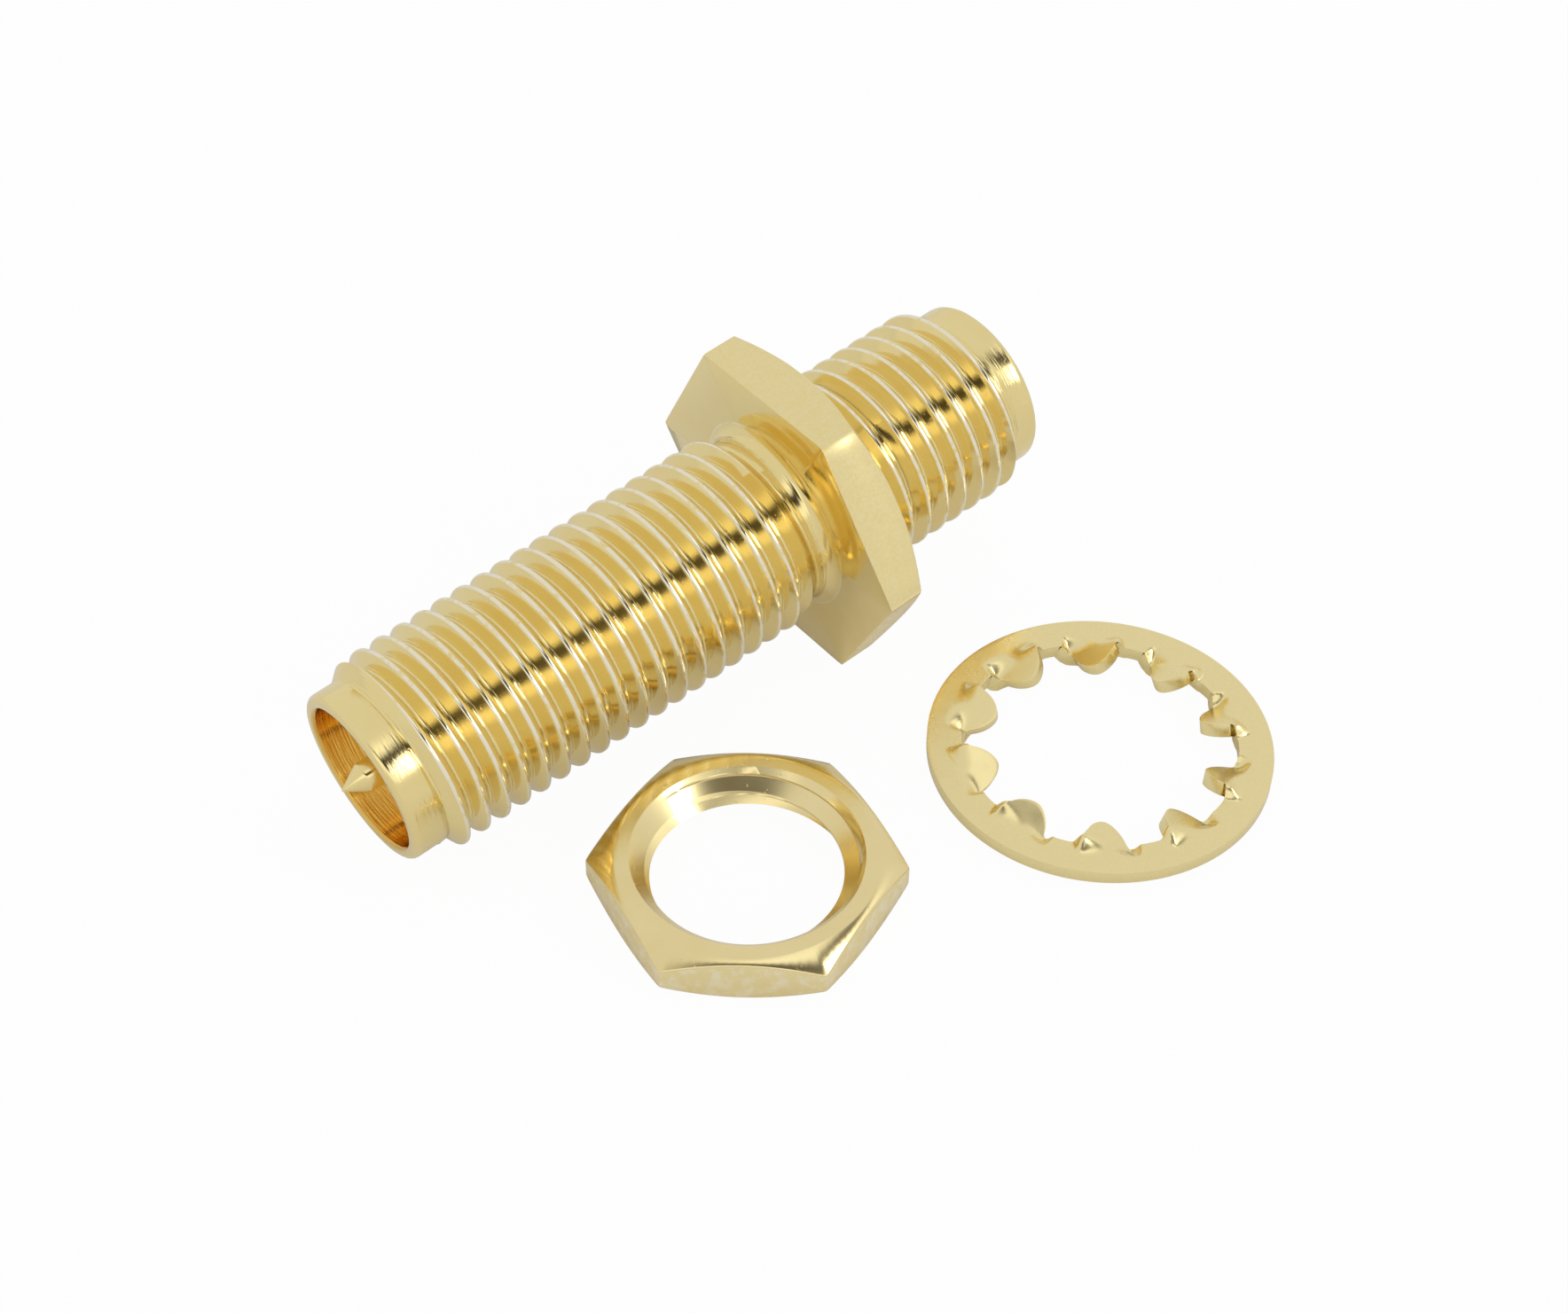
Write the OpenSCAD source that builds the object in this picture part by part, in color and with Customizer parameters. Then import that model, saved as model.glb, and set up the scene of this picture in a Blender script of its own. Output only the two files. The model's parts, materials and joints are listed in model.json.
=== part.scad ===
// Coaxial bulkhead adapter: a long and a short threaded barrel either side of a thin hexagon
// flange, a pin in the long barrel and a spring socket in the short one, with its hexagon nut
// and its internal-tooth lock washer lying beside it.
// The barrel runs along +X, its mouth at the low end, and rests on a flat of the flange.

/* [Thread] */
// Diameter over the crests of both barrels' thread
thread_d = 6.3; // [6.1:0.01:6.35]
// Distance from one crest to the next
thread_pitch = 0.7056; // [0.6:0.0001:0.8]
// Width of the flat on each crest
crest_w = 0.21; // [0.05:0.01:0.25]
// Width of the flat at each root
root_w = 0.05; // [0.04:0.01:0.2]

/* [Long barrel] */
// Length from its mouth to the flange
long_l = 15.13; // [12:0.01:18]
// Distance from its mouth to the middle of the first crest
long_first = 1.4; // [1:0.01:2]
// Smooth neck between the last crest and the flange
long_neck = 0.65; // [0.5:0.01:1.6]
// Diameter of the smooth collar at its mouth
long_nose_d = 5.46; // [5.2:0.01:5.6]

/* [Short barrel] */
// Length from the flange to its mouth
short_l = 6.75; // [5.5:0.01:9]
// Distance from its mouth to the middle of the nearest crest
short_first = 1.38; // [1:0.01:2]
// Smooth neck between the flange and its first crest
short_neck = 0.1; // [0.09:0.01:1.2]
// Diameter of the smooth collar at its mouth
short_nose_d = 5.4; // [5.2:0.01:5.6]

/* [Mouths] */
// Rounding on the outer edge of both mouths
lip_r = 0.2; // [0.05:0.01:0.25]
// Chamfer on the inner edge of both mouths
mouth_chamfer = 0.08; // [0.03:0.01:0.12]
// Bore that a mating shell enters
mouth_bore_d = 4.6; // [4.5:0.01:4.7]
// Depth from a mouth to the face of its insulator
mouth_depth = 1.9; // [1.6:0.01:2.2]

/* [Flange] */
// Distance across the flats of the flange
flange_af = 9.45; // [8:0.05:11]
// Thickness of the flange at its middle
flange_t = 1.57; // [1.2:0.01:3]
// Angle of the crown chamfer on the flange's back and on the nut
crown_angle = 30; // [20:1:35]
// Fillet between the long barrel's neck and the flange
long_fillet = 0.45; // [0.42:0.01:0.5]
// Fillet between the short barrel's neck and the flange
short_fillet = 0.08; // [0.03:0.01:0.09]

/* [Insulators] */
// Diameter of both insulators
insulator_d = 4.1; // [3.9:0.01:4.2]
// Length of the web between the insulators
web_l = 1.4; // [0.8:0.05:2.5]
// Bore through the web
web_bore_d = 3.2; // [2.6:0.05:3.6]
// Distance from the long barrel's mouth to the web
web_x = 11; // [8:0.05:13]
// Gap between an insulator and the metal round and inside it
insulator_gap = 0.01; // [0.005:0.005:0.03]

/* [Centre contact] */
// Diameter of the contact inside the insulators
contact_d = 1.27; // [1.2:0.01:1.4]
// Diameter of the pin
pin_d = 0.914; // [0.9:0.001:0.94]
// Reach of the pin's tip past the long barrel's mouth
pin_reach = 0.6; // [0.2:0.01:0.7]
// Length of the pin's cone
pin_cone_l = 0.72; // [0.4:0.01:1]
// Diameter of the blunt end of the cone
pin_tip_d = 0.06; // [0.03:0.01:0.2]
// Diameter of the collar that the insulators trap
contact_collar_d = 1.9; // [1.6:0.05:2.4]
// Hole that takes a mating pin
socket_d = 0.94; // [0.92:0.01:1]
// Depth of that hole
socket_depth = 3.2; // [2.8:0.1:4]
// Width of the slots that let the socket spring
slot_w = 0.16; // [0.1:0.01:0.2]
// Length of those slots
slot_l = 2.6; // [1.5:0.1:2.7]
// Distance of the socket's mouth behind its insulator's face
socket_inset = 0.1; // [0:0.01:0.25]

/* [Nut] */
// Distance across the nut's flats
nut_af = 8; // [7.5:0.05:9.5]
// Thickness of the nut
nut_t = 1.6; // [1.4:0.05:3]
// Play between the nut's thread and the barrel's, on diameter
nut_play = 0.12; // [0.05:0.01:0.2]
// Diameter of the countersinks in both faces of the nut
nut_sink_d = 6.72; // [6.6:0.01:7.2]
// Diameter of the flat ring inside the nut's crown chamfers
nut_ring_d = 7.6; // [7.3:0.05:8]

/* [Lock washer] */
// Outer diameter of the lock washer
washer_d = 10.33; // [9.6:0.01:12]
// Diameter at the roots of its teeth
washer_root_d = 8.28; // [7.8:0.01:8.8]
// Play between the tips of its teeth and the barrel, on diameter
washer_play = 0.14; // [0.05:0.01:0.4]
// Thickness of its sheet
washer_t = 0.42; // [0.3:0.01:0.6]
// Number of its teeth
washer_teeth = 10; // [8:1:12]
// Width of each tooth
tooth_w = 1.46; // [1:0.02:1.6]
// Twist of each tooth out of the sheet
tooth_twist = 26; // [10:1:35]
// Rounding on the sheet's edges
washer_edge_r = 0.1; // [0.05:0.01:0.14]

/* [Loose pieces] */
// Distance of the nut's middle from the mouth, along the barrel
nut_x = 7.62; // [5:0.01:9]
// Distance of the nut's middle from the barrel's axis
nut_y = -8.01; // [-10:0.01:-7.5]
// Turn of the nut about its own axis
nut_turn = 19.6; // [0:0.1:60]
// Distance of the lock washer's middle from the mouth, along the barrel
washer_x = 19.06; // [18.5:0.01:22]
// Distance of the lock washer's middle from the barrel's axis
washer_y = -10.54; // [-13:0.01:-9.5]
// Turn of the lock washer about its own axis
washer_turn = 13.2; // [0:0.1:36]

/* [Hidden] */
$fn = 96;
eps = 0.01;
arc_steps = 5;

// Thread form: flanks at 60 degrees between a flat crest and a flat root
flank_angle = 30;
thread_depth = (thread_pitch - crest_w - root_w) / (2 * tan(flank_angle));
flank_w = thread_depth * tan(flank_angle);
crest_r = thread_d / 2;
root_r = crest_r - thread_depth;

// Stations along the barrel, from the long barrel's mouth
flange_back = long_l + flange_t;
body_l = flange_back + short_l;
long_room = long_l - long_first - long_neck - flank_w - crest_w / 2;
long_crests = 1 + floor(long_room / thread_pitch);
short_room = short_l - short_first - short_neck - flank_w - crest_w / 2;
short_crests = 1 + floor(short_room / thread_pitch);
short_last_x = body_l - short_first;
rear_face_x = body_l - mouth_depth;
web_end_x = web_x + web_l;
hexagon_corner = 1 / cos(30);

// The barrel leans until its first crest and the flange's front edge both touch the surface
rest_x = long_first - crest_w / 2;
lean = atan((flange_af / 2 - crest_r) / (long_l - rest_x));
rest_z = cos(lean) * flange_af / 2 - sin(lean) * long_l;

// Middle of everything on the surface, which is the origin
tip_x = -pin_reach * cos(lean);
low_x = min(tip_x, -sin(lean) * (long_nose_d / 2 - lip_r), nut_x - nut_af / 2 * hexagon_corner);
high_x = max(body_l * cos(lean) + sin(lean) * (short_nose_d / 2 - lip_r), washer_x + washer_d / 2);
low_y = min(washer_y - washer_d / 2, nut_y - nut_af / 2 * hexagon_corner);
high_y = flange_af / 2 * hexagon_corner;
middle = [(low_x + high_x) / 2, (low_y + high_y) / 2];

// Points of one crest of a thread whose middle lies at x, as [radius, x]
function ridge(x, root, crest) = [
    [root, x - flank_w - crest_w / 2], [crest, x - crest_w / 2],
    [crest, x + crest_w / 2], [root, x + flank_w + crest_w / 2]
];
// All crests of a thread, one pitch apart
function ridges(first, count, root, crest) =
    [for (i = [0 : count - 1]) each ridge(first + i * thread_pitch, root, crest)];
// Points of a round corner about [radius, x] between two angles
function corner(middle_r, middle_x, r, from, to) =
    [for (i = [0 : arc_steps]) let (a = from + (to - from) * i / arc_steps)
        [middle_r + r * cos(a), middle_x + r * sin(a)]];

// Turns a profile of [radius, x] points about the barrel's axis
module turned(points) {
    rotate([0, 90, 0]) rotate_extrude() polygon(points);
}

// Sets the barrel's own frame down on the surface
module resting() {
    translate([-middle.x, -middle.y, rest_z]) rotate([0, -lean, 0]) children();
}

// Hexagon across its flats, flats up and down, along X when turned by the caller
module hexagon(across_flats, thickness) {
    cylinder(d = across_flats * hexagon_corner, h = thickness, $fn = 6);
}

// Solid of revolution that cuts a crown chamfer off a hexagon's corners, outside a flat ring
module crown(across_flats, thickness, both, ring_d) {
    flat_r = ring_d / 2;
    reach = across_flats * hexagon_corner / 2 + 1;
    drop = (reach - flat_r) * tan(crown_angle);
    rotate_extrude() polygon([
        [0, 0], [both ? flat_r : reach, 0], [reach, both ? drop : 0],
        [reach, thickness - drop], [flat_r, thickness], [0, thickness]
    ]);
}

module barrel_outside() {
    long_nose_r = long_nose_d / 2;
    short_nose_r = short_nose_d / 2;
    long_thread = ridges(long_first, long_crests, root_r, crest_r);
    short_from = short_last_x - (short_crests - 1) * thread_pitch;
    short_thread = ridges(short_from, short_crests, root_r, crest_r);
    turned(concat(
        [[0, 0]],
        corner(long_nose_r - lip_r, lip_r, lip_r, -90, 0),
        [[long_nose_r, long_thread[0].y]],
        long_thread,
        corner(root_r + long_fillet, long_l - long_fillet, long_fillet, 180, 90),
        [[root_r + long_fillet, flange_back]],
        corner(root_r + short_fillet, flange_back + short_fillet, short_fillet, 270, 180),
        short_thread,
        [[short_nose_r, short_thread[len(short_thread) - 1].y]],
        corner(short_nose_r - lip_r, body_l - lip_r, lip_r, 0, 90),
        [[0, body_l]]
    ));
}

module barrel_inside() {
    mouth_r = mouth_bore_d / 2;
    seat_r = insulator_d / 2 + insulator_gap;
    web_r = web_bore_d / 2;
    turned([
        [0, -eps], [mouth_r + mouth_chamfer, -eps], [mouth_r + mouth_chamfer, 0],
        [mouth_r, mouth_chamfer], [mouth_r, mouth_depth], [seat_r, mouth_depth],
        [seat_r, web_x], [web_r, web_x], [web_r, web_end_x], [seat_r, web_end_x],
        [seat_r, rear_face_x], [mouth_r, rear_face_x], [mouth_r, body_l - mouth_chamfer],
        [mouth_r + mouth_chamfer, body_l], [mouth_r + mouth_chamfer, body_l + eps], [0, body_l + eps]
    ]);
}

module flange() {
    translate([long_l, 0, 0]) rotate([0, 90, 0]) rotate([0, 0, 30]) intersection() {
        hexagon(flange_af, flange_t);
        crown(flange_af, flange_t, false, flange_af);
    }
}

module body() {
    color([0.83, 0.68, 0.32]) resting() difference() {
        union() {
            barrel_outside();
            flange();
        }
        barrel_inside();
    }
}

module centre_contact() {
    contact_r = contact_d / 2;
    collar_r = contact_collar_d / 2;
    socket_x = rear_face_x - socket_inset;
    color([0.86, 0.7, 0.34]) resting() difference() {
        turned([
            [0, -pin_reach], [pin_tip_d / 2, -pin_reach], [pin_d / 2, pin_cone_l - pin_reach],
            [pin_d / 2, mouth_depth], [contact_r, mouth_depth], [contact_r, web_x],
            [collar_r, web_x], [collar_r, web_end_x], [contact_r, web_end_x],
            [contact_r, socket_x], [0, socket_x]
        ]);
        turned([
            [0, socket_x - socket_depth - socket_d / 2 * tan(30)], [socket_d / 2, socket_x - socket_depth],
            [socket_d / 2, socket_x + eps], [0, socket_x + eps]
        ]);
        for (turn = [0, 90])
            translate([socket_x - slot_l, 0, 0]) rotate([turn, 0, 0])
                translate([0, -contact_d, -slot_w / 2]) cube([slot_l + eps, 2 * contact_d, slot_w]);
    }
}

// Insulating tube round the contact between two stations
module insulator(from, to) {
    color([0.93, 0.92, 0.88]) resting() turned([
        [contact_d / 2 + insulator_gap, from], [insulator_d / 2, from],
        [insulator_d / 2, to], [contact_d / 2 + insulator_gap, to]
    ]);
}

module insulator_front() { insulator(mouth_depth, web_x); }
module insulator_rear() { insulator(web_end_x, rear_face_x); }

module hex_nut() {
    minor_r = root_r + nut_play / 2;
    major_r = crest_r + nut_play / 2;
    sink_r = nut_sink_d / 2;
    sink_l = sink_r - minor_r;
    grooves = max(1, floor((nut_t - 2 * sink_l) / thread_pitch + 0.5));
    first = nut_t / 2 - (grooves - 1) * thread_pitch / 2;
    color([0.85, 0.71, 0.36]) translate([nut_x - middle.x, nut_y - middle.y, 0])
        rotate([0, 0, nut_turn]) difference() {
            intersection() {
                hexagon(nut_af, nut_t);
                crown(nut_af, nut_t, true, nut_ring_d);
            }
            rotate_extrude() polygon(concat(
                [[0, -eps], [sink_r, -eps], [sink_r, 0], [minor_r, sink_l]],
                [for (i = [0 : grooves - 1]) let (z = first + i * thread_pitch)
                    each [[minor_r, z - 0.5 * flank_w], [major_r - 0.5 * thread_depth, z],
                          [minor_r, z + 0.5 * flank_w]]],
                [[minor_r, nut_t - sink_l], [sink_r, nut_t], [sink_r, nut_t + eps], [0, nut_t + eps]]
            ));
        }
}

// One tooth of the lock washer, twisted about the line from its tip to its base
module tooth() {
    tip_r = (thread_d + washer_play) / 2;
    round_r = tooth_w * 0.42;
    base_r = washer_root_d / 2 + washer_t;
    rotate([-tooth_twist, 0, 0]) translate([0, 0, -washer_t / 2])
        linear_extrude(washer_t) petal(tip_r, base_r, round_r);
}

// Petal with a round tip and straight sides that widen to its base
module petal(tip_r, base_r, round_r) {
    polygon(concat(
        [for (i = [0 : 2 * arc_steps]) let (a = 105 + 150 * i / (2 * arc_steps))
            [tip_r + round_r + round_r * cos(a), round_r * sin(a)]],
        [[base_r, -tooth_w / 2], [base_r, tooth_w / 2]]
    ));
}

module lock_washer() {
    half_t = washer_t / 2;
    tip_drop = tooth_w / 2 * sin(tooth_twist) + half_t * cos(tooth_twist);
    outer_r = washer_d / 2 - washer_edge_r;
    inner_r = washer_root_d / 2 + washer_edge_r;
    edge_z = half_t - washer_edge_r;
    color([0.87, 0.74, 0.42]) translate([washer_x - middle.x, washer_y - middle.y, tip_drop])
        rotate([0, 0, washer_turn]) union() {
            rotate_extrude() polygon(concat(
                corner(outer_r, edge_z, washer_edge_r, 0, 90),
                corner(inner_r, edge_z, washer_edge_r, 90, 180),
                corner(inner_r, -edge_z, washer_edge_r, 180, 270),
                corner(outer_r, -edge_z, washer_edge_r, 270, 360)
            ));
            for (i = [0 : washer_teeth - 1]) rotate([0, 0, i * 360 / washer_teeth]) tooth();
        }
}

body();
centre_contact();
insulator_front();
insulator_rear();
hex_nut();
lock_washer();
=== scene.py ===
"""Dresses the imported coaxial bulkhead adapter.

The barrel, the flange, the contact, the insulators, the nut and the lock washer are modelled over their CAD
pieces and finished in gold plating and off-white plastic.
"""

import json
import math
from types import SimpleNamespace

import bmesh
import bpy
from mathutils import Matrix, Vector


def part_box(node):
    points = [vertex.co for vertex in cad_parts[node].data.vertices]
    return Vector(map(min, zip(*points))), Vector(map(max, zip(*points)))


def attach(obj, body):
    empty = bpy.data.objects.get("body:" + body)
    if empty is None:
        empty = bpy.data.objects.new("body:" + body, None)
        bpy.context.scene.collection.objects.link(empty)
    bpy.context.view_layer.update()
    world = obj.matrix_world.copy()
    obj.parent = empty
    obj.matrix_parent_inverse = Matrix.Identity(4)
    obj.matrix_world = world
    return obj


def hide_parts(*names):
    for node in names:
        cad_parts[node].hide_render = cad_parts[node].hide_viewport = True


bl_info = {
    "name": "Coaxial Adapter Looks",
    "version": (1, 0, 0),
    "blender": (4, 5, 0),
    "location": "3D View > Sidebar > Adapter",
    "description": "Models and finishes a threaded coaxial adapter with its nut and lock washer",
    "category": "Object",
}

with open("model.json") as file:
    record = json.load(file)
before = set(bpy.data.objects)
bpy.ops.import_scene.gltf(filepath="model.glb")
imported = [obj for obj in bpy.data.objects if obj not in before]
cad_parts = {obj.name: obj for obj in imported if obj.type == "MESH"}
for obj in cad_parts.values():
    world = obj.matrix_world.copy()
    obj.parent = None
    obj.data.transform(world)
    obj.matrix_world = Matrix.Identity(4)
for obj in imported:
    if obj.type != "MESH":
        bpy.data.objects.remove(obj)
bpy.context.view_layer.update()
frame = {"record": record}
MOUNTS = {mount["name"]: mount for mount in frame["record"]["mounts"]}
MM = 0.001
FULL_TURN = 2 * math.pi
# The angle from the middle of a hexagon's side to its corner
HALF_SIDE = math.pi / 6
# Run of a thread's flank for each millimetre of its depth
FLANK_SLOPE = math.tan(math.radians(30))

# Steps of the meshes
COLUMNS = 144
TURNED_STEPS = 96
ROUND_STEPS = 4
TOOTH_COLUMNS = 60
TOOTH_ROWS = 14
TOOTH_TIP_STEPS = 24
TOOTH_FOOT_STEPS = 6
GAP_STEPS = 3
BEVEL_STEPS = 3

# Distances in millimetres: vertices closer than this are one
FINE = 1e-4
COARSE = 1e-3

# The taper that ends each thread: its reach as a share of the thread's depth, the room it takes beyond the
# last crest as a multiple of the flank's run, and the share of its reach over which it falls
TAPER_SHARE = 1.1
TAPER_LEAD = 1.6
TAPER_FALL = 0.95
# How far round the first crest is turned, as a share of a turn
THREAD_PHASE = 0.375

# Details of the barrel and the flange in millimetres; the barrel's ends go on NECK_INSET inside the flange
THREAD_ROUNDING = 0.03
SEAT_PLAY = 0.01
STEP_IN = 0.02
NECK_INSET = 0.2
FLANGE_OVERLAP = 0.2
BACK_GAP = 0.05
# The long thread's last stretch: whole up to here, low from here on and this far above its root
LONG_RUNOUT = (0.72, 0.3, 0.1)
# Behind the flange the short thread is filled in: distance and depth below the crests, then fully open
SHORT_FILL = ((0.0, 0.05), (0.7, 0.22))
SHORT_OPEN = 1.5

# Details of the contact: its drilled hole's point, depth over radius, and its broken edges in millimetres
DRILL_POINT = 0.577
CONTACT_EDGE = 0.04

# Details of the washer in millimetres; a lower squareness gives the teeth leaner corners
TOOTH_SQUARENESS = 1.75
TOOTH_FLARE = 0.05
TOOTH_FOOT = 0.35
WASHER_LIFT = 0.03
WASHER_RIM = 0.3
WASHER_BEVEL = 0.09
# Where the twist of a tooth is none and where it is whole: outside its root, and away from its middle line
TWIST_NONE = (0.42, 1.0)
TWIST_WHOLE = (-0.12, 0.74)

# Camera: place in millimetres, direction, roll and lens
CAMERA_SPOT = (-36.7476, -43.3137, 61.2865)
CAMERA_LOOK = (0.453638, 0.543195, -0.706506)
CAMERA_ROLL = math.radians(1.058)
CAMERA_LENS = 64.13
CAMERA_SENSOR = 36.0

# Floor: its radius in metres, and how much of what the camera and the metal see there is plain white
FLOOR_RADIUS = 0.9
FLOOR_TO_CAMERA = 0.965
FLOOR_TO_METAL = 0.16

# Tent; on the strip's side it has bands of (sine of the height above the floor, colour)
STRIP_SIDE = (0.0, -1.0, 0.0)
STRIP_REACH = 0.35
WHITE = (1, 1, 1, 1)
TENT = (0.78, 0.78, 0.78)
BRIGHT = (1.2, 1.2, 1.18)
DARK = (0.04, 0.032, 0.025)
STRIP_BANDS = (
    (0.0, TENT), (0.38, TENT), (0.48, BRIGHT), (0.63, BRIGHT), (0.69, DARK), (0.83, DARK), (0.885, BRIGHT),
    (0.95, (1.15, 1.15, 1.13)), (1.0, TENT),
)

# Key light: place, width and height in metres, power in watts
KEY_SPOT = (0.17, -0.27, 0.24)
KEY_WIDTH = 0.1
KEY_HEIGHT = 0.14
KEY_POWER = 0.2

# Relief of bright plating, as shares of its depth
RING_SHARE = 0.7
SCORE_SHARE = 14.0
GRAIN_SHARE = 0.3
SPECK_SHARE = 0.8

# The clouds bring out this share of the deep gold where they are thicker than this
CLOUD_SHARE = 0.4
CLOUD_FROM = 0.35
# Paler patches of frosted plating
FROST = (0.98, 0.92, 0.76)

# Sockets of the Mix node in its colour mode
MIX_SHARE = 0
MIX_COLOURS = (6, 7)
MIX_RESULT = 2


# ---------------------------------------------------------------- sizes


def length(name, description, millimetres):
    """A length property with its default given in millimetres."""
    return bpy.props.FloatProperty(
        name=name, description=description, default=millimetres * MM, unit="LENGTH", precision=5
    )


def colour(name, description, default):
    """A colour property."""
    return bpy.props.FloatVectorProperty(
        name=name, description=description, subtype="COLOR", size=3, default=default, min=0, max=1
    )


class AdapterSizes(bpy.types.PropertyGroup):
    """Driving sizes of the adapter, as the solids have them apart from the flats on crests and roots."""

    thread_d: length("Thread diameter", "Diameter over the crests", 6.3)
    thread_pitch: length("Thread pitch", "From one crest to the next", 0.7056)
    crest_w: length("Crest width", "Flat on each crest", 0.1)
    root_w: length("Root width", "Flat at each root", 0.09)
    long_l: length("Long barrel", "From its mouth to the flange", 15.13)
    long_first: length("First long crest", "From the long mouth to the first crest", 1.4)
    long_nose_d: length("Long nose", "Diameter of the collar at the long mouth", 5.46)
    short_l: length("Short barrel", "From the flange to its mouth", 6.75)
    short_first: length("First short crest", "From the short mouth to the nearest crest", 1.38)
    short_nose_d: length("Short nose", "Diameter of the collar at the short mouth", 5.4)
    lip_r: length("Lip rounding", "Outer edge of both mouths", 0.2)
    mouth_chamfer: length("Mouth chamfer", "Inner edge of both mouths", 0.08)
    mouth_bore_d: length("Mouth bore", "Bore that a mating shell enters", 4.6)
    mouth_depth: length("Mouth depth", "From a mouth to its insulator", 1.9)
    flange_af: length("Flange across flats", "Hexagon flange", 9.45)
    flange_t: length("Flange thickness", "At its middle", 1.57)
    long_fillet: length("Flange fillet", "Where the long neck meets the flange", 0.45)
    insulator_d: length("Insulator diameter", "Both insulators", 4.1)
    web_x: length("Web station", "From the long mouth to the web", 11.0)
    web_l: length("Web length", "Between the insulators", 1.4)
    web_bore_d: length("Web bore", "Bore through the web", 3.2)
    contact_d: length("Contact diameter", "Inside the insulators", 1.27)
    pin_d: length("Pin diameter", "Pin in the long mouth", 0.914)
    pin_reach: length("Pin reach", "Past the long mouth", 0.6)
    pin_cone_l: length("Pin cone", "Length of the cone", 0.72)
    contact_collar_d: length("Contact collar", "Trapped by the insulators", 1.9)
    socket_d: length("Socket hole", "Takes a mating pin", 0.94)
    socket_depth: length("Socket depth", "Depth of the hole", 3.2)
    socket_inset: length("Socket inset", "Behind the insulator's face", 0.1)
    slot_w: length("Slot width", "Slots of the socket", 0.16)
    slot_l: length("Slot length", "Slots of the socket", 2.6)
    nut_af: length("Nut across flats", "Hexagon nut", 8.0)
    nut_play: length("Nut play", "Between nut and barrel threads", 0.12)
    nut_sink_d: length("Nut countersink", "Diameter in both faces", 6.72)
    nut_ring_d: length("Nut ring", "Diameter of the flat ring inside the crown chamfers", 7.6)
    washer_d: length("Washer diameter", "Outer diameter", 10.33)
    washer_root_d: length("Tooth roots", "Diameter at the roots of the teeth", 8.28)
    washer_play: length("Washer play", "Between the teeth and the barrel", 0.14)
    washer_t: length("Washer sheet", "Thickness", 0.42)
    tooth_w: length("Tooth width", "Width of each tooth", 1.46)
    washer_teeth: bpy.props.IntProperty(name="Teeth", description="Number of teeth", default=10)
    tooth_twist: bpy.props.FloatProperty(
        name="Tooth twist", description="Out of the sheet", subtype="ANGLE", default=math.radians(26)
    )
    crown_angle: bpy.props.FloatProperty(
        name="Crown angle", description="Chamfer on flange and nut", subtype="ANGLE",
        default=math.radians(30),
    )
    nut_turn: bpy.props.FloatProperty(
        name="Nut turn", description="About its own axis", subtype="ANGLE", default=math.radians(19.6)
    )
    washer_turn: bpy.props.FloatProperty(
        name="Washer turn", description="About its own axis", subtype="ANGLE", default=math.radians(13.2)
    )


class AdapterColours(bpy.types.PropertyGroup):
    """Colours of the finishes."""

    plate: colour("Gold plate", "Bright plating on barrel and flange", (0.9, 0.75, 0.36))
    # crest: the paler crest colour is partly plating worn thin and partly a painted highlight along the crest
    # lines
    crest: colour("Crest", "Plating polished thin on the thread's crests", (0.94, 0.87, 0.68))
    # deep: the plating's own tone in its random clouds, and painted shade filling the inside of both mouths
    # (the roots get no extra deep gold)
    deep: colour("Deep gold", "Plating where it lies thick, in the roots and the mouths", (0.8, 0.5, 0.11))
    nut: colour("Nut plate", "Plating on the nut", (0.9, 0.76, 0.4))
    washer: colour("Washer plate", "Plating on the washer", (0.91, 0.77, 0.39))
    insulator: colour("Insulator", "Off-white insulator", (0.82, 0.81, 0.77))
    floor: colour("Floor", "Pale floor", (0.83, 0.83, 0.83))


def sizes():
    """The sizes as a plain object, lengths in millimetres."""
    group = bpy.context.scene.adapter_sizes
    out = {}
    for key, prop in group.bl_rna.properties.items():
        if key in {"rna_type", "name"}:
            continue
        value = getattr(group, key)
        out[key] = value / MM if prop.unit == "LENGTH" else value
    size = SimpleNamespace(**out)
    size.thread_depth = (size.thread_pitch - size.crest_w - size.root_w) / (2 * FLANK_SLOPE)
    size.crest_r = size.thread_d / 2
    size.root_r = size.crest_r - size.thread_depth
    size.flange_back = size.long_l + size.flange_t
    size.body_l = size.flange_back + size.short_l
    return size


def barrel_frame(size):
    """The matrix from the barrel's own millimetres to the row frame in metres."""
    aft = Vector(MOUNTS["socket_mouth"]["axis"]).normalized()
    side = Vector((0, 1, 0))
    up = aft.cross(side)
    mouth = Vector(MOUNTS["socket_mouth"]["pos_m"]) - aft * (size.body_l - size.mouth_depth / 2) * MM
    turned = Matrix((aft, side, up)).transposed().to_4x4()
    return Matrix.Translation(mouth) @ turned @ Matrix.Scale(MM, 4)


def flat_frame(mount, turn, lift=0.0):
    """The matrix for a piece that lies flat round a mount, turned about its axis, its zero at lift metres."""
    middle = Vector(MOUNTS[mount]["pos_m"])
    middle.z = lift
    return Matrix.Translation(middle) @ Matrix.Rotation(turn, 4, "Z") @ Matrix.Scale(MM, 4)


# ---------------------------------------------------------------- modelling helpers


def piece_from(bm, name, place, materials, nodes, sharp):
    """Makes the finished mesh an object that rides on the body and stands for its CAD nodes."""
    bmesh.ops.transform(bm, matrix=place, verts=bm.verts)
    bmesh.ops.recalc_face_normals(bm, faces=bm.faces)
    for face in bm.faces:
        face.smooth = True
    mesh = bpy.data.meshes.new(name)
    bm.to_mesh(mesh)
    bm.free()
    mesh.set_sharp_from_angle(angle=math.radians(sharp))
    for material in materials:
        mesh.materials.append(material)
    piece = bpy.data.objects.new(name, mesh)
    bpy.context.scene.collection.objects.link(piece)
    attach(piece, "root")
    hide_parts(*nodes)
    return piece


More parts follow.
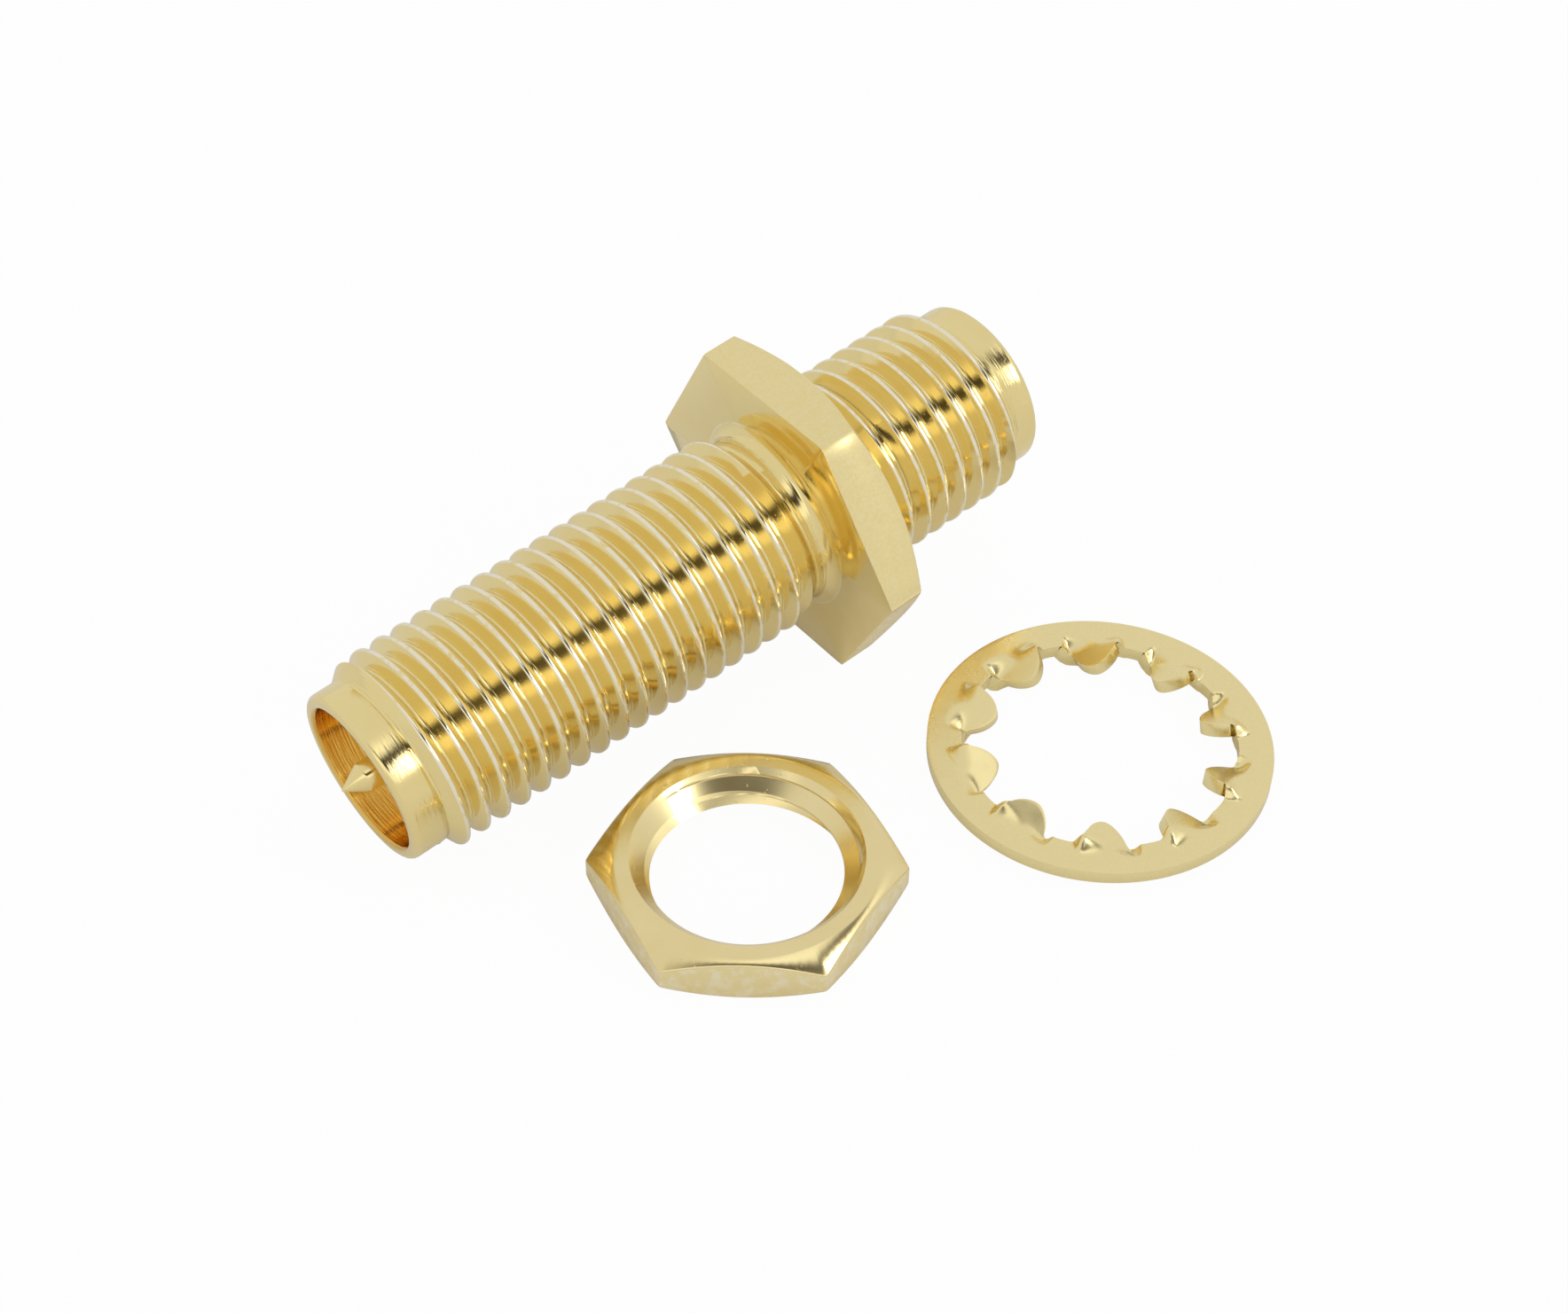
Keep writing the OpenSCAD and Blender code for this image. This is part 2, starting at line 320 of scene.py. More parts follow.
def add_turned(bm, points, steps=TURNED_STEPS, closed=True, angle=FULL_TURN, start=0.0):
    """Spins a profile of (x, radius) points about the X axis and returns the new faces."""
    before = set(bm.faces)
    verts = [bm.verts.new((x, r * math.cos(start), r * math.sin(start))) for x, r in points]
    pairs = list(zip(verts, verts[1:])) + ([(verts[-1], verts[0])] if closed else [])
    edges = [bm.edges.new(pair) for pair in pairs]
    full = angle == FULL_TURN
    geom = verts + edges
    if not full:
        geom = geom + [bm.faces.new(verts)]
    bmesh.ops.spin(
        bm, geom=geom, cent=(0, 0, 0), axis=(1, 0, 0), dvec=(0, 0, 0), angle=angle, steps=steps,
        use_merge=full, use_normal_flip=False, use_duplicate=False,
    )
    faces = [f for f in bm.faces if f not in before]
    bmesh.ops.remove_doubles(bm, verts=list({v for f in faces for v in f.verts}), dist=FINE)
    return [f for f in bm.faces if f not in before]


def softened(corners, reach, steps=2, most=0.45):
    """Rounds the corners of an open line, reaching no further than this share of the shorter side."""
    out = [tuple(corners[0])]
    for before, at, after in zip(corners, corners[1:], corners[2:]):
        a, b, c = Vector(before), Vector(at), Vector(after)
        reached = min(reach, most * (a - b).length, most * (c - b).length)
        near = b + (a - b).normalized() * reached
        far = b + (c - b).normalized() * reached
        for i in range(steps + 1):
            t = i / steps
            out.append(tuple(near * (1 - t) ** 2 + b * 2 * t * (1 - t) + far * t * t))
    return out + [tuple(corners[-1])]


def thread_line(size, grow=0.0):
    """One pitch of the thread, root middle to root middle, as (x, radius) points."""
    half, root, crest = size.thread_pitch / 2, size.root_r + grow, size.crest_r + grow
    corners = [
        (-half, root), (-half + size.root_w / 2, root), (-size.crest_w / 2, crest),
        (size.crest_w / 2, crest), (half - size.root_w / 2, root), (half, root),
    ]
    return softened(corners, THREAD_ROUNDING)


def add_thread(bm, line, pitch, first, low, high, blank):
    """Sweeps one pitch of thread along a right-hand helix and returns its two rims as lists of edges.

    first is a crest's station, blank(x, radius) limits the radius, and low and high are where it is cut off.
    """
    own = bmesh.new()
    verts = [own.verts.new((x, r, 0)) for x, r in line]
    edges = [own.edges.new(pair) for pair in zip(verts, verts[1:])]
    bmesh.ops.spin(
        own, geom=verts + edges, cent=(0, 0, 0), axis=(1, 0, 0), dvec=(pitch / COLUMNS, 0, 0),
        angle=FULL_TURN, steps=COLUMNS, use_merge=False, use_normal_flip=False, use_duplicate=False,
    )
    one_turn = own.verts[:] + own.edges[:] + own.faces[:]
    lowest = math.floor((low - first) / pitch) - 2
    highest = math.ceil((high - first) / pitch) + 1
    for turn in range(lowest, highest + 1):
        if turn == 0:
            continue
        copied = bmesh.ops.duplicate(own, geom=one_turn)["geom"]
        moved = [g for g in copied if isinstance(g, bmesh.types.BMVert)]
        bmesh.ops.translate(own, verts=moved, vec=(turn * pitch, 0, 0))
    bmesh.ops.translate(own, verts=own.verts, vec=(first, 0, 0))
    bmesh.ops.remove_doubles(own, verts=own.verts, dist=COARSE)
    for vert in own.verts:
        radius = math.hypot(vert.co.y, vert.co.z)
        share = blank(vert.co.x, radius) / radius
        vert.co.y *= share
        vert.co.z *= share
    for station, side in ((low, -1), (high, 1)):
        bmesh.ops.bisect_plane(
            own, geom=own.verts[:] + own.edges[:] + own.faces[:], dist=FINE,
            plane_co=(station, 0, 0), plane_no=(side, 0, 0), clear_outer=True, clear_inner=False,
        )
    mesh = bpy.data.meshes.new("thread")
    own.to_mesh(mesh)
    own.free()
    known = len(bm.edges)
    bm.from_mesh(mesh)
    bpy.data.meshes.remove(mesh)
    bm.edges.ensure_lookup_table()
    rims = {low: [], high: []}
    for edge in bm.edges[known:]:
        if len(edge.link_faces) == 1:
            x = (edge.verts[0].co.x + edge.verts[1].co.x) / 2
            rims[low if abs(x - low) < abs(x - high) else high].append(edge)
    return rims[low], rims[high]


def draw_rim(bm, rim, stations):
    """Extrudes a rim through stations, each vertex keeping its own angle, and returns the last rim.

    A station is (x, radius) or a function of the angle that gives them.
    """
    for station in stations:
        made = bmesh.ops.extrude_edge_only(bm, edges=rim)["geom"]
        rim = [g for g in made if isinstance(g, bmesh.types.BMEdge) and len(g.link_faces) == 1]
        for vert in {v for edge in rim for v in edge.verts}:
            angle = math.atan2(vert.co.z, vert.co.y)
            x, radius = station(angle) if callable(station) else station
            vert.co = (x, radius * math.cos(angle), radius * math.sin(angle))
    return rim


def rounded_step(x, r, reach, from_angle, to_angle):
    """Points of a quarter round about (x, r), as (x, radius), for draw_rim."""
    out = []
    for i in range(ROUND_STEPS + 1):
        angle = math.radians(from_angle + (to_angle - from_angle) * i / ROUND_STEPS)
        out.append((x + reach * math.sin(angle), r + reach * math.cos(angle)))
    return out


def hexagon_radius(across, angle, edge_r):
    """Radius of a hexagon with slightly rounded corners at an angle, a flat facing angle 0."""
    apothem = across / 2
    off = (angle + HALF_SIDE) % (2 * HALF_SIDE) - HALF_SIDE
    sharp = apothem / math.cos(off)
    corner = apothem / math.cos(HALF_SIDE)
    centre = corner - 2 * edge_r / math.sqrt(3)
    towards = HALF_SIDE - abs(off)
    reach = edge_r ** 2 - (centre * math.sin(towards)) ** 2
    if reach < 0:
        return sharp
    return min(sharp, centre * math.cos(towards) + math.sqrt(reach))


def hexagon_angles(flat_steps, corner_half, corner_steps):
    """Angles round a hexagon, close together at its corners."""
    out = []
    for side in range(6):
        middle = side * 2 * HALF_SIDE
        reach = HALF_SIDE - corner_half
        out += [middle - reach + 2 * reach * i / flat_steps for i in range(flat_steps + 1)]
        corner = middle + HALF_SIDE
        out += [corner - corner_half + 2 * corner_half * i / corner_steps for i in range(1, corner_steps)]
    return out


def hexagon_rim(bm, angles, station):
    """A first rim round the X axis with one vertex at each angle."""
    made = bmesh.ops.create_circle(bm, cap_ends=False, radius=1.0, segments=len(angles))["verts"]
    edges = list({edge for vert in made for edge in vert.link_edges})
    for vert, angle in zip(made, angles):
        x, radius = station(angle)
        vert.co = (x, radius * math.cos(angle), radius * math.sin(angle))
    return edges


def following(outline):
    """Makes stations for draw_rim that keep to an outline: x from its radius, drawn in by an inset."""
    def station(x_of, inset=0.0):
        """One station, as a function of the angle."""
        return lambda angle: (x_of(outline(angle)), outline(angle) - inset)
    return station


def fade(value, nothing, all_of_it):
    """Smooth step from 0 to 1 between two values."""
    t = min(1.0, max(0.0, (value - nothing) / (all_of_it - nothing)))
    return t * t * (3 - 2 * t)


def evenly_spaced(line, count):
    """count + 1 points at equal distances along a line of (x, y) points."""
    points = [Vector(p) for p in line]
    reach = [0.0]
    for a, b in zip(points, points[1:]):
        reach.append(reach[-1] + (b - a).length)
    out, at = [], 0
    for i in range(count + 1):
        wanted = reach[-1] * i / count
        while at < len(points) - 2 and reach[at + 1] < wanted:
            at += 1
        span = reach[at + 1] - reach[at]
        out.append(points[at].lerp(points[at + 1], (wanted - reach[at]) / span))
    return out


def tooth_line(size, step):
    """Half a gap, one round tooth about the X axis and half a gap, along the washer's inside."""
    root_r, tip_r = size.washer_root_d / 2, (size.thread_d + size.washer_play) / 2
    half_w = size.tooth_w / 2
    foot = math.asin((half_w + TOOTH_FLARE) / root_r)
    lead = foot + TOOTH_FOOT / root_r
    arc = [step / 2 + (lead - step / 2) * i / GAP_STEPS for i in range(GAP_STEPS + 1)]
    gap = [(root_r * math.cos(a), -root_r * math.sin(a)) for a in arc]

    def flank(turn):
        """A point of the tooth's rounded outline, 0 at its foot and half a turn at its other foot."""
        deep = math.sin(turn) ** (2 / TOOTH_SQUARENESS)
        wide = abs(math.cos(turn)) ** (2 / TOOTH_SQUARENESS)
        return root_r - (root_r - tip_r) * deep, -half_w * math.copysign(wide, math.cos(turn))

    first = math.asin((TOOTH_FOOT / (root_r - tip_r)) ** (TOOTH_SQUARENESS / 2))
    corner = (root_r * math.cos(foot), -root_r * math.sin(foot))
    low = gap[:-1] + softened([gap[-1], corner, flank(first)], TOOTH_FOOT, TOOTH_FOOT_STEPS, most=0.97)
    tip = [
        flank(first + (math.pi - 2 * first) * i / TOOTH_TIP_STEPS) for i in range(1, TOOTH_TIP_STEPS)
    ]
    high = [(x, -y) for x, y in reversed(low)]
    return low + tip + high


# ---------------------------------------------------------------- shader maths


class Number:
    """A shader socket that adds Math nodes when it is used in an expression."""

    def __init__(self, nodes, socket):
        self.nodes, self.socket = nodes, socket

    def _with(self, operation, *others, clamp=False):
        settings = {"operation": operation, "use_clamp": clamp}
        return self.nodes.add("ShaderNodeMath", settings, [self, *others])

    def __add__(self, other):
        return self._with("ADD", other)

    def __radd__(self, other):
        return self._with("ADD", other)

    def __sub__(self, other):
        return self._with("SUBTRACT", other)

    def __rsub__(self, other):
        return self.nodes.add("ShaderNodeMath", {"operation": "SUBTRACT"}, [other, self])

    def __mul__(self, other):
        return self._with("MULTIPLY", other)

    def __rmul__(self, other):
        return self._with("MULTIPLY", other)

    def clipped(self):
        """The value kept between 0 and 1."""
        return self._with("ADD", 0.0, clamp=True)

    def root(self):
        """The square root."""
        return self._with("SQRT")


class Nodes:
    """Adds nodes to one tree."""

    def __init__(self, tree):
        self.tree = tree
        tree.nodes.clear()

    def add(self, kind, settings=None, inputs=(), output=0):
        """Adds a node, applies settings, fills sockets by order or by name and returns one output."""
        node = self.tree.nodes.new(kind)
        for key, value in (settings or {}).items():
            if key == "stops":
                ramp = node.color_ramp.elements
                while len(ramp) < len(value):
                    ramp.new(1.0)
                for element, (position, stop) in zip(ramp, value):
                    element.position = position
                    element.color = shade(stop)
            else:
                setattr(node, key, value)
        pairs = inputs.items() if isinstance(inputs, dict) else enumerate(inputs)
        for key, value in pairs:
            self.fill(node.inputs[key], value)
        return Number(self, node.outputs[output]) if node.outputs else None

    def fill(self, socket, value):
        """Links or sets one socket."""
        if isinstance(value, Number):
            self.tree.links.new(value.socket, socket)
        else:
            socket.default_value = value

    def place(self, matrix=None):
        """Object coordinates in metres, or in a piece's own frame where its matrix is given."""
        at = self.add("ShaderNodeTexCoord", output="Object")
        if matrix is None:
            return at
        back = matrix.inverted()
        middle, turn, scale = back.decompose()
        return self.add(
            "ShaderNodeMapping", {},
            {"Vector": at, "Location": middle, "Rotation": turn.to_euler(), "Scale": scale},
        )

    def noise(self, at, scale, detail, rough):
        """Fractal noise from 0 to 1."""
        return self.add(
            "ShaderNodeTexNoise", {}, {"Vector": at, "Scale": scale, "Detail": detail, "Roughness": rough}
        )

    def stretched(self, at, scale):
        """The same coordinates scaled differently along each axis."""
        return self.add("ShaderNodeMapping", {}, {"Vector": at, "Scale": scale})

    def ramp(self, value, low, high):
        """0 at low, 1 at high, with soft ends."""
        return self.add(
            "ShaderNodeMapRange", {"interpolation_type": "SMOOTHSTEP"},
            {"Value": value, "From Min": low, "From Max": high},
        )

    def mixed(self, share, first, second):
        """One colour blended into another."""
        node = self.tree.nodes.new("ShaderNodeMix")
        node.data_type = "RGBA"
        self.fill(node.inputs[MIX_SHARE], share)
        for index, value in zip(MIX_COLOURS, (first, second)):
            self.fill(node.inputs[index], value if isinstance(value, Number) else shade(value))
        return Number(self, node.outputs[MIX_RESULT])

    def clouded(self, clouds, base, deep):
        """The base colour with deep gold in its thicker clouds."""
        return self.mixed((clouds - CLOUD_FROM).clipped() * CLOUD_SHARE, base, deep)

    def bump(self, height, distance, strength=1.0):
        """A normal for a height from 0 to 1 over a distance in metres."""
        return self.add("ShaderNodeBump", {}, {"Height": height, "Distance": distance, "Strength": strength})

    def plated(self, at, tint, clouds, roughness, ring_scale, ring_depth, scored=0.0):
        """Bright metal with fine turned rings, scores where scored, a faint grain and a few specks."""
        rings = self.noise(self.stretched(at, (ring_scale, 0.12, 0.12)), scale=1.0, detail=4.0, rough=0.65)
        scores = self.noise(self.stretched(at, (11.0, 0.5, 0.5)), scale=1.0, detail=3.0, rough=0.6)
        grain = self.noise(at, scale=14.0, detail=2.0, rough=0.5)
        specks = self.ramp(self.noise(at, scale=5.5, detail=2.0, rough=0.6), 0.66, 0.74)
        turned = rings * RING_SHARE + scores * scored * SCORE_SHARE
        height = turned + grain * GRAIN_SHARE + specks * SPECK_SHARE
        self.surface(
            Base_Color=tint, Metallic=1.0, Roughness=roughness + 0.07 * clouds + 0.1 * specks,
            Normal=self.bump(height, ring_depth * MM),
        )

    def surface(self, **inputs):
        """A Principled surface as the material's result."""
        named = {key.replace("_", " "): value for key, value in inputs.items()}
        result = self.add("ShaderNodeBsdfPrincipled", {}, named)
        self.add("ShaderNodeOutputMaterial", {}, {"Surface": result})


def shade(value):
    """An opaque colour for a socket."""
    return (*value, 1.0)


def new_material(name):
    """An empty material and the adder for its nodes."""
    material = bpy.data.materials.new(name)
    material.use_nodes = True
    return material, Nodes(material.node_tree)


def bright_gold(name, base, deep, matrix, roughness, ring_scale, ring_depth):
    """Bright plating over turned brass: fine rings round the axis, faint clouds and specks."""
    material, n = new_material(name)
    at = n.place(matrix)
    clouds = n.noise(at, scale=0.6, detail=3.0, rough=0.5)
    n.plated(at, n.clouded(clouds, base, deep), clouds, roughness, ring_scale, ring_depth)
    return material


def threaded_gold(name, size, base, deep, crest, matrix, roughness):
    """Bright plating on the barrel: paler on the crests, partly worn-thin plating and partly a painted
    highlight, deep gold inside the mouths as painted shade, scored on the collars.
    """
    material, n = new_material(name)
    at = n.place(matrix)
    across, up = (n.add("ShaderNodeSeparateXYZ", {}, [at], output=axis) for axis in ("Y", "Z"))
    radius = (across * across + up * up).root()
    clouds = n.noise(at, scale=0.6, detail=3.0, rough=0.5)
    crest_breakup = n.noise(at, scale=3.0, detail=3.0, rough=0.6)
    # Painted shade: inside the bore of each mouth the colour turns fully to deep gold
    outside = n.ramp(radius, size.mouth_bore_d / 2 + 0.02, size.mouth_bore_d / 2 + 0.12)
    # Painted highlight: near the crest radius the colour turns to the pale crest colour, partly worn-thin
    # plating and partly a painted highlight, broken up by noise
    polished = n.ramp(radius, size.crest_r - 0.05, size.crest_r - 0.012) * n.ramp(crest_breakup, 0.3, 0.5)
    tint = n.mixed(polished, n.mixed(outside, deep, n.clouded(clouds, base, deep)), crest)
    scored = 1.0 - n.ramp(radius, size.long_nose_d / 2 + 0.01, size.long_nose_d / 2 + 0.06)
    n.plated(at, tint, clouds, roughness, ring_scale=9.0, ring_depth=0.0012, scored=scored)
    return material


def frosted_gold(name, base, matrix, roughness, scale, depth, streak, mottled):
    """Satin or frosted plating: a mottled grain, streaks across the piece's Y axis and paler patches."""
    material, n = new_material(name)
    at = n.place(matrix)
    mottle = n.noise(at, scale, detail=5.0, rough=0.65)
    streaks = n.noise(n.stretched(at, (1.2, streak, 1.2)), scale=1.0, detail=4.0, rough=0.7)
    cloud = n.noise(at, scale * 0.25, detail=2.0, rough=0.5)
    height = mottle * mottled + streaks * 0.5
    tint = n.mixed(n.ramp(mottle, 0.42, 0.62) * mottled, base, FROST)
    n.surface(
        Base_Color=tint, Metallic=1.0, Roughness=roughness + 0.12 * cloud, Normal=n.bump(height, depth * MM)
    )
    return material


def off_white(name, base):
    """Matt fluoropolymer with a fine grain."""
    material, n = new_material(name)
    at = n.place()
    grain = n.noise(at, scale=2500.0, detail=3.0, rough=0.5)
    n.surface(
        Base_Color=n.mixed(grain, base, tuple(c * 0.93 for c in base)), Roughness=0.5 + 0.1 * grain,
        Normal=n.bump(grain, 0.01 * MM, strength=0.4),
    )
    return material


# ---------------------------------------------------------------- pieces


def wall_of_blank(points):
    """A blank's radius along x, from (x, radius) corners."""
    def radius_at(x):
        """The radius on the straight line between the two corners round x."""
        for (x0, r0), (x1, r1) in zip(points, points[1:]):
            if x <= x1:
                return r0 + (r1 - r0) * max(0.0, x - x0) / (x1 - x0)
        return points[-1][1]
    return radius_at


def mouth_stations(size, mouth, inward, nose_x, nose_r, web_x):
    """Stations from the thread's end over the lip, into the mouth and down the bore to the web.

    inward is 1 where the mouth opens towards -X and -1 where it opens towards +X.
    """
    lip, chamfer, depth = size.lip_r, size.mouth_chamfer, size.mouth_depth
    mouth_r, seat_r = size.mouth_bore_d / 2, size.insulator_d / 2 + SEAT_PLAY
    inside = [
        (0.0, mouth_r + chamfer + 0.015), (0.008, mouth_r + chamfer - 0.005), (chamfer, mouth_r + 0.004),
        (chamfer + STEP_IN, mouth_r), (depth - STEP_IN, mouth_r), (depth, mouth_r - STEP_IN),
        (depth, seat_r), (depth + 0.2, seat_r),
    ]
    return [
        (nose_x - inward * STEP_IN, nose_r), (mouth + inward * (lip + STEP_IN), nose_r),
        *rounded_step(mouth + inward * lip, nose_r - lip, lip, 0, -90 * inward),
        *((mouth + inward * deep, radius) for deep, radius in inside),
        (web_x, seat_r), (web_x, size.web_bore_d / 2),
    ]


class ADAPTER_OT_barrel(bpy.types.Operator):
    """Models the turned barrel: both helical threads, the noses, the mouths and the bore"""

    bl_idname = "adapter.barrel"
    bl_label = "Barrel"

    def execute(self, context):
        size = sizes()
        tint = context.scene.adapter_colours
        place = barrel_frame(size)
        bm = bmesh.new()
        line = thread_line(size)
        long_nose, short_nose = size.long_nose_d / 2, size.short_nose_d / 2
        reach = size.thread_depth * TAPER_SHARE
        lead, phase = reach * FLANK_SLOPE * TAPER_LEAD, THREAD_PHASE * size.thread_pitch
        start = size.long_first - size.crest_w / 2 - lead
        end = size.long_l - size.long_fillet
        whole_to, low_from, low_by = LONG_RUNOUT
        blank = wall_of_blank([
            (start, long_nose), (start + reach * TAPER_FALL, size.crest_r), (end - whole_to, size.crest_r),
            (end - low_from, size.root_r + low_by), (end, size.root_r),
        ])
        nose_rim, neck_rim = add_thread(
            bm, line, size.thread_pitch, size.long_first - phase, start, end, lambda x, r: min(r, blank(x))
        )
        short_start = size.flange_back + BACK_GAP
        short_end = size.body_l - size.short_first + size.crest_w / 2 + lead
        short_blank = wall_of_blank([
            (short_start, size.crest_r), (short_end - reach * TAPER_FALL, size.crest_r),
            (short_end, short_nose),
        ])
        shallow = wall_of_blank([
            *((short_start + x, size.crest_r - depth) for x, depth in SHORT_FILL),
            (short_start + SHORT_OPEN, size.root_r),
        ])
        back_rim, tail_rim = add_thread(
            bm, line, size.thread_pitch, size.body_l - size.short_first - phase, short_start, short_end,
            lambda x, r: min(max(r, shallow(x)), short_blank(x)),
        )
        web_end = size.web_x + size.web_l
        long_mouth = mouth_stations(size, 0.0, 1, start, long_nose, size.web_x)
        short_mouth = mouth_stations(size, size.body_l, -1, short_end, short_nose, web_end)
        nose_end = draw_rim(bm, nose_rim, long_mouth)
        tail_end = draw_rim(bm, tail_rim, short_mouth)
        bmesh.ops.bridge_loops(bm, edges=nose_end + tail_end)
        fillet = size.long_fillet
        neck_end = draw_rim(bm, neck_rim, [
            *rounded_step(size.long_l - fillet, size.root_r + fillet, fillet, 180, 90)[1:],
            (size.long_l + NECK_INSET, size.root_r + fillet),
        ])
        back_end = draw_rim(bm, back_rim, [(size.flange_back - NECK_INSET, size.crest_r - SHORT_FILL[0][1])])
        bmesh.ops.bridge_loops(bm, edges=neck_end + back_end)
        gold = threaded_gold("gold_plate", size, tint.plate, tint.deep, tint.crest, place, roughness=0.1)
        piece_from(bm, "barrel", place, [gold], ["body"], sharp=50)
        return {"FINISHED"}


class ADAPTER_OT_flange(bpy.types.Operator):
    """Models the hexagon flange with its crown chamfer"""

    bl_idname = "adapter.flange"
    bl_label = "Flange"

    def execute(self, context):
        size = sizes()
        tint = context.scene.adapter_colours
        place = barrel_frame(size)
        bm = bmesh.new()
        half_flat, tan_crown = size.flange_af / 2, math.tan(size.crown_angle)
        front, back, edge = size.long_l, size.flange_back, 0.035
        bend, tuck = edge * 0.3, edge * 0.25
        inner_r = size.root_r - FLANGE_OVERLAP
        quarter = math.pi / 2
        side = following(lambda angle: hexagon_radius(size.flange_af, angle - quarter, edge_r=0.07))

        def crowned(radius):
            """x of the back face at a radius, its corners chamfered."""
            return back - max(0.0, radius - half_flat) * tan_crown

        bends = hexagon_angles(flat_steps=14, corner_half=math.radians(1.4), corner_steps=4)
        first = hexagon_rim(bm, [a + quarter for a in bends], lambda angle: (front, inner_r))
        last = draw_rim(bm, first, [
            side(lambda r: front, edge), side(lambda r: front + bend, bend),
            side(lambda r: front + edge), side(lambda r: crowned(r) - edge),
            side(lambda r: crowned(r) - bend, tuck), side(lambda r: crowned(r - edge), edge),
            (back, half_flat - 0.06), (back, inner_r),
        ])
        bmesh.ops.bridge_loops(bm, edges=first + last)
        satin = frosted_gold(
            "flange_plate", tint.plate, place,
            roughness=0.2, scale=9.0, depth=0.0026, streak=14.0, mottled=0.15,
        )
        polished = bright_gold(
            "flange_face", tint.plate, tint.deep, place, roughness=0.1, ring_scale=0.5, ring_depth=0.0004
        )
        piece = piece_from(bm, "hex_flange", place, [satin, polished], ["body"], sharp=25)
        aft = place.to_3x3().col[0].normalized()
        for polygon in piece.data.polygons:
            if abs(polygon.normal.dot(aft)) > 0.98:
                polygon.material_index = 1
        return {"FINISHED"}


class ADAPTER_OT_contact(bpy.types.Operator):
    """Models the centre contact: the pin with its cone, the collar and the slotted socket"""

    bl_idname = "adapter.contact"
    bl_label = "Centre contact"

    def execute(self, context):
        size = sizes()
        tint = context.scene.adapter_colours
        place = barrel_frame(size)
        bm = bmesh.new()
        contact_r, pin_r, collar_r, hole_r = (
            size.contact_d / 2, size.pin_d / 2, size.contact_collar_d / 2, size.socket_d / 2
        )
        tip, cone_end, shoulder = -size.pin_reach, size.pin_cone_l - size.pin_reach, size.mouth_depth - 0.1
        web_end = size.web_x + size.web_l
        mouth = size.body_l - size.mouth_depth - size.socket_inset
        slot_end, hole_end = mouth - size.slot_l, mouth - size.socket_depth
        add_turned(bm, [
            (tip, 0.0), (tip + 0.004, 0.018), (tip + 0.02, 0.032), (cone_end - 0.03, pin_r - 0.02),
            (cone_end + 0.01, pin_r), (shoulder, pin_r), (shoulder, contact_r - 0.03),
            (shoulder + 0.03, contact_r), (size.web_x, contact_r), (size.web_x, collar_r),
            (web_end, collar_r), (web_end, contact_r), (slot_end, contact_r), (slot_end, hole_r),
            (hole_end, hole_r), (hole_end - hole_r * DRILL_POINT, 0.0),
        ], steps=64, closed=False)
        half_slot = math.asin(size.slot_w / 2 / contact_r)
        edge = CONTACT_EDGE
        finger = [
            (slot_end - 0.02, hole_r), (slot_end - 0.02, contact_r), (mouth - edge, contact_r),
            (mouth, contact_r - edge), (mouth, hole_r + edge), (mouth - edge, hole_r),
        ]
        quarter = math.pi / 2
        for index in range(4):
            add_turned(
                bm, finger, steps=14, angle=quarter - 2 * half_slot, start=index * quarter + half_slot
            )
        gold = bright_gold(
            "contact_plate", tint.plate, tint.deep, place, roughness=0.12, ring_scale=7.0, ring_depth=0.0004
        )
        piece_from(bm, "contact", place, [gold], ["centre_contact"], sharp=30)
        return {"FINISHED"}


class ADAPTER_OT_insulators(bpy.types.Operator):
    """Models the two insulators with their broken edges"""

    bl_idname = "adapter.insulators"
    bl_label = "Insulators"

    def execute(self, context):
        size = sizes()
        tint = context.scene.adapter_colours
        place = barrel_frame(size)
        white = off_white("insulator_white", tint.insulator)
        inner, outer, edge = size.contact_d / 2 + 0.012, size.insulator_d / 2, 0.06
        spans = {
            "insulator_front": (size.mouth_depth, size.web_x),
            "insulator_rear": (size.web_x + size.web_l, size.body_l - size.mouth_depth),
        }
        for name, (low, high) in spans.items():
            bm = bmesh.new()
            add_turned(bm, [
                (low, inner), (low, outer - edge), (low + edge, outer),
                (high - edge, outer), (high, outer - edge), (high, inner),
            ])
            piece_from(bm, name + "_shown", place, [white], [name], sharp=30)
        return {"FINISHED"}


